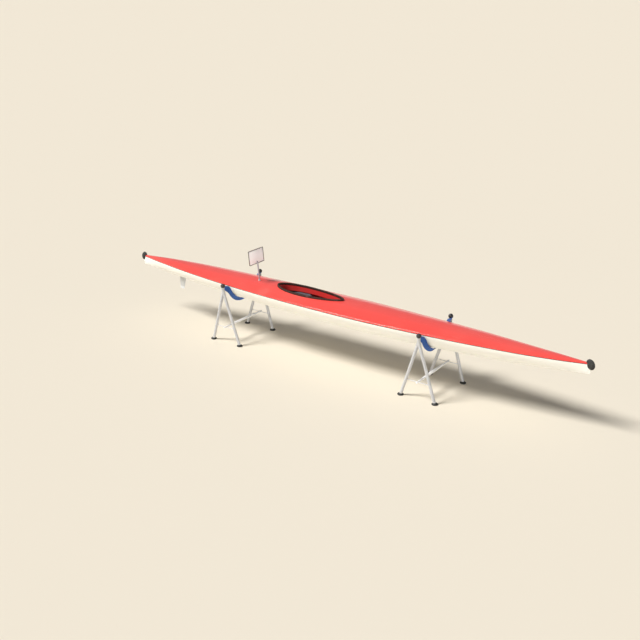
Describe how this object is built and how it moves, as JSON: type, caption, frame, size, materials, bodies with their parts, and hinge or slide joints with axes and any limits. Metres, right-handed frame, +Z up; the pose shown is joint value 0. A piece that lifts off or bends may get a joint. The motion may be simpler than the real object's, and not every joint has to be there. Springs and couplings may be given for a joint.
{
  "type": "racing kayak",
  "caption": "Slim decked racing kayak with an open cockpit and an understern rudder, lying in folding sling stands.",
  "frame": {"origin": "on the floor under the middle of the bounding box", "axes": "+X to the bow, +Y to port, +Z up from the floor"},
  "size_m": [5.2694, 0.647, 0.988],
  "materials": {
    "white_gelcoat": "white gelcoat over glass laminate",
    "red_gelcoat": "red gelcoat over glass laminate",
    "black_plastic": "moulded black plastic",
    "black_rubber": "soft black rubber",
    "grey_plastic": "dark grey moulded plastic",
    "aluminium": "satin tube and plate",
    "grey_composite": "light grey composite",
    "dark_metal": "dark painted strip",
    "pale_plastic": "blank pale sheet",
    "blue_webbing": "woven blue webbing"
  },
  "bodies": {
    "boat_on_stands": {"hull_shell": "white_gelcoat", "deck_shell": "red_gelcoat", "cockpit_coaming": "red_gelcoat", "cockpit_rim": "black_plastic", "seat": "grey_plastic", "seat_rail_starboard": "aluminium", "seat_rail_port": "aluminium", "footrest_board": "aluminium", "tiller_base": "aluminium", "tiller_pin": "aluminium", "stern_ball": "black_rubber", "bow_ball": "black_rubber", "number_plate": "pale_plastic", "number_plate_border": "dark_metal", "plate_stem": "grey_composite", "plate_socket": "grey_composite", "stern_stand_head_starboard": "black_plastic", "stern_stand_leg_starboard_aft": "aluminium", "stern_stand_foot_starboard_aft": "black_rubber", "stern_stand_leg_starboard_fore": "aluminium", "stern_stand_foot_starboard_fore": "black_rubber", "stern_stand_brace_starboard": "aluminium", "stern_stand_head_port": "black_plastic", "stern_stand_leg_port_aft": "aluminium", "stern_stand_foot_port_aft": "black_rubber", "stern_stand_leg_port_fore": "aluminium", "stern_stand_foot_port_fore": "black_rubber", "stern_stand_brace_port": "aluminium", "stern_stand_spreader": "aluminium", "stern_stand_sling": "blue_webbing", "bow_stand_head_starboard": "black_plastic", "bow_stand_leg_starboard_aft": "aluminium", "bow_stand_foot_starboard_aft": "black_rubber", "bow_stand_leg_starboard_fore": "aluminium", "bow_stand_foot_starboard_fore": "black_rubber", "bow_stand_brace_starboard": "aluminium", "bow_stand_head_port": "black_plastic", "bow_stand_leg_port_aft": "aluminium", "bow_stand_foot_port_aft": "black_rubber", "bow_stand_leg_port_fore": "aluminium", "bow_stand_foot_port_fore": "black_rubber", "bow_stand_brace_port": "aluminium", "bow_stand_spreader": "aluminium", "bow_stand_sling": "blue_webbing"},
    "tiller": {"steering_tiller": "aluminium"},
    "rudder_blade": {"rudder": "grey_composite"}
  },
  "joints": [
    {"name": "tiller_turn", "type": "hinge", "parent": "boat_on_stands", "child": "tiller", "pos_m": [0.385, 0, 0.51], "axis": [0, 0, 1], "range_deg": [-25, 25]},
    {"name": "rudder_turn", "type": "hinge", "parent": "boat_on_stands", "child": "rudder_blade", "pos_m": [-2.008, 0, 0.43], "axis": [0, 0, 1], "range_deg": [-37.5, 37.5]}
  ],
  "couplings": [
    {"joint": "rudder_turn", "follows": "tiller_turn", "ratio": 1.5}
  ]
}
